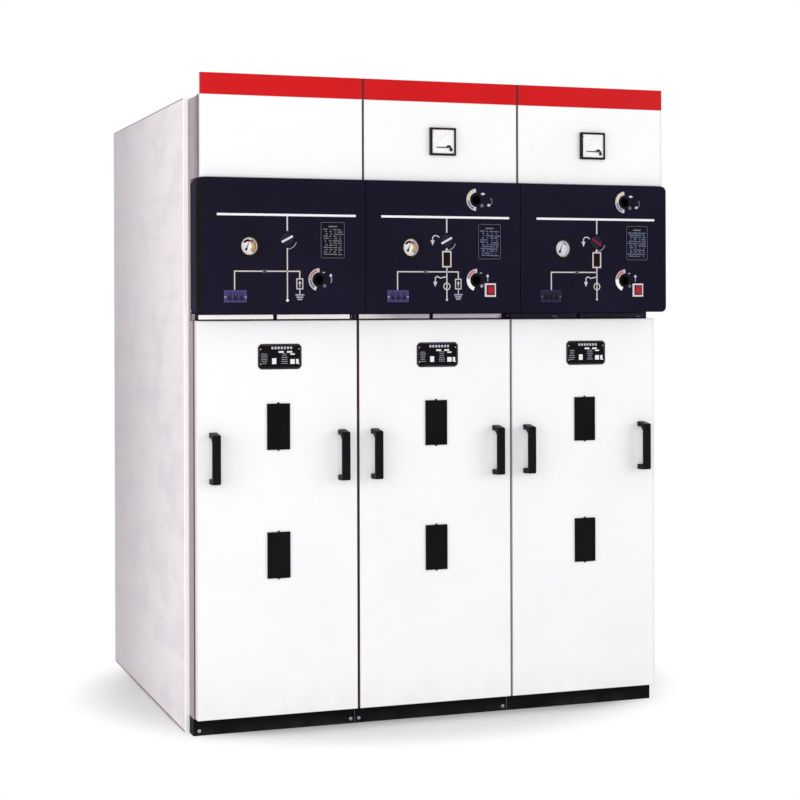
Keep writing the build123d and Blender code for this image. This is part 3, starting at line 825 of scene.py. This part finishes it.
def buildMeter(n):
    look = meterAt
    low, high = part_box("ammeters")
    size = (high.z - low.z) / mm
    x = (low.x if n == 2 else high.x - size * mm) + size / 2 * mm
    z = (low.z + high.z) / 2
    art = Artwork(f"ammeter_dial_{n}", x, low.y + look["well"] * mm, z, 0.4)
    w = size / 2 - look["rim"]
    art.plate(-w, -w, w, w, dialWhite)
    (px, pz), (start, end), radius = look["pivot"], look["scale"], look["radius"]
    art.arc(look["pivot"], radius, 0.5, start, end, dialGrey, 0.2, 28)
    art.draw(meterNeedle, look["pivot"])
    left, low2, right, high2 = look["stop"]
    art.plate(left - w, w - low2, right - w, w - high2, lilacInk, 0.1)
    art.done("black_plastic")
    y = low.y + (look["well"] - look["proud"]) * mm
    grow(f"ammeter_ticks_{n}", [(x + px * mm, y, z + pz * mm)], ticks,
         dict(look["ticks"], Radius=radius * mm, Start=radians(start), Sweep=radians(end - start)))
    spots = []
    for i, text in enumerate(look["labels"]):
        angle = radians(look["turn"][0] - (i + 1) * look["turn"][1])
        across, up = px + look["numbers"] * cos(angle), pz + look["numbers"] * sin(angle)
        spots.append((text, x + across * mm, z + up * mm))
    numerals(f"ammeter_numbers_{n}", spots, look["labelSize"], y)


def numerals(name, marks, size, y):
    # plain numbers on a dial, made a mesh before they are put in place
    joined = bmesh.new()
    for text, x, z in marks:
        curve = bpy.data.curves.new("number", "FONT")
        curve.body = text
        curve.size = size
        curve.align_x = "CENTER"
        curve.align_y = "CENTER"
        curve.extrude = 0.0001
        curve.resolution_u = 2
        holder = linked("number", curve)
        flat = evaluated(holder)
        flat.transform(Matrix.Translation((x, y, z)) @ Matrix.Rotation(pi / 2, 4, "X"))
        joined.from_mesh(flat)
        bpy.data.objects.remove(holder)
        bpy.data.meshes.remove(flat)
    data = meshFrom(name, joined)
    data.materials.append(dialGrey)
    place(name, data)


for n in cubicles:
    buildGauge(n)
    x, y, z = onCover(n, gaugeAt)
    grow(f"gauge_ticks_{n}", [(x, y - gaugeAt["tickLift"] * mm, z)], ticks, gaugeAt["ticks"])
for n in (2, 3):
    buildMeter(n)
print("dials built")

voltAt = {"x": -150, "rise": 50, "seat": -3, "pitch": 17.5, "rings": ((6, 5.12, 2.0), (-6, 6.4, 2.4)), "lens": 3.6,
          "lensRise": -6, "face": (34, 17), "screwAt": (30.5, -2), "screw": 0.0027}


def buildIndicator(n):
    look = voltAt
    art = Artwork(f"indicator_lamps_{n}", *onCover(n, look), 0.3)
    for phase in (-1, 0, 1):
        at = phase * look["pitch"]
        for rise, radius, width in look["rings"]:
            art.arc((at, rise), radius, width, 0, 360, darkViolet if n < 3 else blackInk, steps=20)
        art.disc((at, look["lensRise"]), look["lens"], glossBlack, 0.4, 18)
    if n == 3:
        half, tall = look["face"]
        art.plate(-half, -tall, half, tall, duskBlock, -0.29)
    art.done("blue_plastic")


for n in cubicles:
    buildIndicator(n)
for n in cubicles:
    x, y, z = onCover(n, voltAt)
    across, up = voltAt["screwAt"]
    setScrews(f"indicator_screws_{n}", [(x + side * across * mm, y, z + up * mm) for side in (-1, 1)], crossHead,
              voltAt["screw"], "front", 3, dullSteel if n == 3 else lilacSteel)

sheetAt = {"x": 146, "rise": 214, "seat": -1, "outline": (36, 52, 4.0), "line": 1.2, "title": (13, 12, 3.6),
           "rows": 12, "pitch": 6.6, "words": 4, "first": (-23, 20), "step": 14.5, "slope": 0.5,
           "bars": {"Shortest": 0.15, "Longest": 1.1, "Thick": 0.0002}}


def buildSheet(n):
    look = sheetAt
    x, y, z = onCover(n, look)
    art = Artwork(f"instruction_outline_{n}", x, y, z, 0.15)
    w, h, r = look["outline"]
    corners = []
    for cx, cz, start in ((w - r, h - r, 0), (-w + r, h - r, 90), (-w + r, -h + r, 180), (w - r, -h + r, 270)):
        turns = [radians(start + a) for a in (0, 30, 60, 90)]
        corners += [(cx + r * cos(turn), cz + r * sin(turn)) for turn in turns]
    art.path(corners, look["line"], greyInk, closed=True)
    half, below, tall = look["title"]
    art.bar((-half, h - below), (half, h - below), tall, greigeInk)
    art.done("dark_moulding")
    left, top = look["first"]
    rows = []
    for row in range(look["rows"]):
        for word in range(look["words"]):
            across = left + word * look["step"] + (row * 7 % 5)
            down = top + row * look["pitch"] + word * look["slope"]
            rows.append((x + across * mm, y - 0.1 * mm, z + (h - down) * mm))
    ink, width, height = (slateInk, 0.018, 0.0036) if n > 1 else (greigeInk, 0.0155, 0.0026)
    grow(f"instruction_rows_{n}", rows, printedRows,
         dict(look["bars"], Width=width, Height=height, Seed=11 + n, Finish=ink))


for n in cubicles:
    buildSheet(n)

ratingAt = {"edge": (64, 34.5), "line": 0.8, "heading": (7, -26, 9.6, 6, 22, 29),
            "fields": ((-4, 11, 12, 16), (22, 11, 38, 16), (32, 5, 46, 9), (-24, -22, -11, -5), (32, -22, 46, -8),
                       (50, -22, 58, -8)),
            "columns": (-48, 14), "rows": 6, "top": 8, "pitch": 5.6, "rivetAt": (59, 22), "rivet": 0.0017,
            "bars": {"Shortest": 0.6, "Longest": 1.0, "Width": 0.022, "Height": 0.0016, "Thick": 0.00012,
                     "Finish": lilacInk}}


def buildRatingPlate(n):
    look = ratingAt
    low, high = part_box(f"rating_plate_{n}")
    x, y, z = (low.x + high.x) / 2, low.y, (low.z + high.z) / 2
    art = Artwork(f"rating_fields_{n}", x, y, z, 0.12)
    wide, tall = look["edge"]
    art.frame(-wide, -tall, wide, tall, look["line"], greyInk)
    count, first, pitch, size, bottom, top = look["heading"]
    for left in (first + k * pitch for k in range(count)):
        art.plate(left, bottom, left + size, top, paleInk)
    for field in look["fields"]:
        art.plate(*field, whiteInk)
    art.done("black_plastic", f"door_{n}")
    rows = [(x + across * mm, y - 0.06 * mm, z + (look["top"] - row * look["pitch"]) * mm)
            for across in look["columns"] for row in range(look["rows"])]
    grow(f"rating_rows_{n}", rows, printedRows, dict(look["bars"], Seed=31 + n), f"door_{n}")
    across, up = look["rivetAt"]
    rivets = [(x + sx * across * mm, y, z + sz * up * mm) for sx in (-1, 1) for sz in (-1, 1)]
    setScrews(f"rating_rivets_{n}", rivets, crossHead, look["rivet"], "front", 5, screwSteel,
              f"door_{n}")


for n in cubicles:
    buildRatingPlate(n)
print("plates printed")


# screws and bolts

# across from the middle of the row or of a cubicle, back from the row's middle, and up from the floor
fixings = {
    "middles": (-500, 0, 500), "joins": (-250, 250), "headerJoint": (30.5, 6.8, 2), "plinthJoint": (2, 1.4),
    "plinth": {"x": (-732, -263, -237, 237), "z": 14, "size": 0.0055},
    "rear": {"x": (-234, 0, 234), "z": (72, 400, 740, 1078, 1122, 1480, 1846), "ends": (72, 1078, 1122, 1846),
             "size": 0.0065},
    "roof": {"x": (-232, 232), "y": (-520, -260, 20, 300, 580), "size": 0.0055},
    "stud": {"pitch": 130, "size": 0.015},
}

plinthLow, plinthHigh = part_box("plinth")
look = fixings["plinth"]
setScrews("plinth_screws", [(x * mm, plinthLow.y, look["z"] * mm) for x in look["x"]], crossHead, look["size"],
          "front", 2, lilacSteel)
low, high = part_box("header_plates")
half, width, sunk = fixings["headerJoint"]
strips = Artwork("header_joints", 0, low.y + sunk * mm, (low.z + high.z) / 2, 1.0)
for x in fixings["joins"]:
    strips.bar((x, -half), (x, half), width, headerSeal)
strips.done("red_paint")
short, width = fixings["plinthJoint"]
half = (plinthHigh.z - plinthLow.z) / 2 / mm - short
strips = Artwork("plinth_joints", 0, plinthLow.y, (plinthLow.z + plinthHigh.z) / 2, 0.2)
for x in fixings["joins"]:
    strips.bar((x, -half), (x, half), width, greyInk)
strips.done("black_paint")

look = fixings["rear"]
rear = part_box("rear_covers")[1].y
spots = [((middle + x) * mm, rear, z * mm) for middle in fixings["middles"] for x in look["x"] for z in look["z"]
         if x or z in look["ends"]]
setScrews("rear_cover_screws", spots, flushHead, look["size"], "rear", 8, screwSteel)

look = fixings["roof"]
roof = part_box("roof_covers")[1].z
spots = [((middle + x) * mm, y * mm, roof) for middle in fixings["middles"] for x in look["x"] for y in look["y"]]
setScrews("roof_cover_screws", spots, hexHead, look["size"], "up", 9, screwSteel)

look = fixings["stud"]
low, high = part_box("cable_bushings")
spots = [(coverMiddle[n] + phase * look["pitch"] * mm, (low.y + high.y) / 2, low.z)
         for n in cubicles for phase in (-1, 0, 1)]
setScrews("bushing_studs", spots, hexHead, look["size"], "down", 6, screwSteel)
for spare in (crossHead, hexHead, flushHead):
    bpy.data.objects.remove(spare)
print("screws set")


# camera, light and floor

cameraAt = {"place": (-1.91505, -5.1871, 1.25454), "turn": 17.65, "roll": -0.18, "lens": 74.46,
            "shiftX": 0.125, "shiftY": -0.1166}


def buildCamera():
    look = cameraAt
    data = bpy.data.cameras.new("photoCamera")
    data.sensor_width = 36
    data.lens = look["lens"]
    data.shift_x, data.shift_y = look["shiftX"], look["shiftY"]
    data.clip_end = 200
    turn, roll = radians(look["turn"]), radians(look["roll"])
    ahead = Vector((sin(turn), cos(turn), 0))
    across, up = Vector((cos(turn), -sin(turn), 0)), Vector((0, 0, 1))
    right = across * cos(roll) + up * sin(roll)
    top = up * cos(roll) - across * sin(roll)
    made = linked("photoCamera", data)
    made.matrix_world = Matrix.Translation(look["place"]) @ Matrix((right, top, -ahead)).transposed().to_4x4()
    scene.camera = made


lampRows = {
    "frontSoftbox": {"place": (-1.8, -5.9, 1.75), "aim": (0, -0.3, 0.85), "size": (4.5, 3.4), "power": 86},
    "sideSoftbox": {"place": (-4.6, -3.0, 1.6), "aim": (-0.7, -0.2, 0.8), "size": (3.0, 3.0), "power": 68},
    "farSoftbox": {"place": (4.6, -3.8, 1.9), "aim": (0.4, -0.3, 0.8), "size": (3.0, 3.0), "power": 76},
}


def buildLamps():
    for name, look in lampRows.items():
        data = bpy.data.lights.new(name, "AREA")
        data.shape = "RECTANGLE"
        data.size, data.size_y = look["size"]
        data.energy = look["power"]
        made = linked(name, data)
        made.location = look["place"]
        made.rotation_mode = "QUATERNION"
        made.rotation_quaternion = (Vector(look["aim"]) - Vector(look["place"])).to_track_quat("-Z", "Y")


def buildWorld(strength=0.6):
    # a soft even light; the camera and mirrors see plain white instead
    world = bpy.data.worlds.new("paleStudio")
    world.use_nodes = True
    tree = world.node_tree
    tree.nodes.clear()
    rays = addNode(tree, "ShaderNodeLightPath", {}).outputs
    seen = rays["Is Camera Ray"]
    for kind in ("Is Glossy Ray", "Is Transmission Ray"):
        seen = addNode(tree, "ShaderNodeMath", {0: seen, 1: rays[kind]}, {"operation": "MAXIMUM"}).outputs[0]
    lit, shown = (addNode(tree, "ShaderNodeBackground", {"Color": (1, 1, 1, 1), "Strength": power}).outputs[0]
                  for power in (strength, 1.0))
    blend = addNode(tree, "ShaderNodeMixShader", {0: seen, 1: lit, 2: shown}).outputs[0]
    addNode(tree, "ShaderNodeOutputWorld", {0: blend})
    scene.world = world


# how far the floor reaches, and the oval in which it shows: half its width and depth, and where it fades, in ovals
floorLook = {"size": 14, "colour": (0.9, 0.9, 0.9), "oval": (0.8, 0.64), "fade": (1.0, 1.32)}


def buildFloor():
    # a pale floor that keeps the shadow near the row and fades into the white background further out
    look = floorLook
    data = bmesh.new()
    bmesh.ops.create_grid(data, x_segments=8, y_segments=8, size=look["size"])
    mesh = meshFrom("studioFloor", data)
    floor = linked("studioFloor", mesh)
    made = Finish("floorPaint", look["colour"], 0.9, 0.0)
    x, y = (made.axes[axis] * (1 / half) for axis, half in enumerate(look["oval"]))
    away = x * x + y * y
    fade = made.rise(away.maths("SQRT", away), *look["fade"])
    camera, glossy = (made.node("ShaderNodeLightPath", {}, f"Is {kind} Ray") for kind in ("Camera", "Glossy"))
    glow = made.node("ShaderNodeEmission", {"Color": (1, 1, 1, 1), "Strength": 1.0})
    blend = made.node("ShaderNodeMixShader", {0: fade * (camera | glossy), 1: made.shader.outputs[0], 2: glow})
    made.tree.links.new(blend.socket, made.tree.nodes["Material Output"].inputs["Surface"])
    mesh.materials.append(made.material)


buildCamera()
buildLamps()
buildWorld()
buildFloor()
scene.view_settings.view_transform = "Standard"
print("camera and light ready")
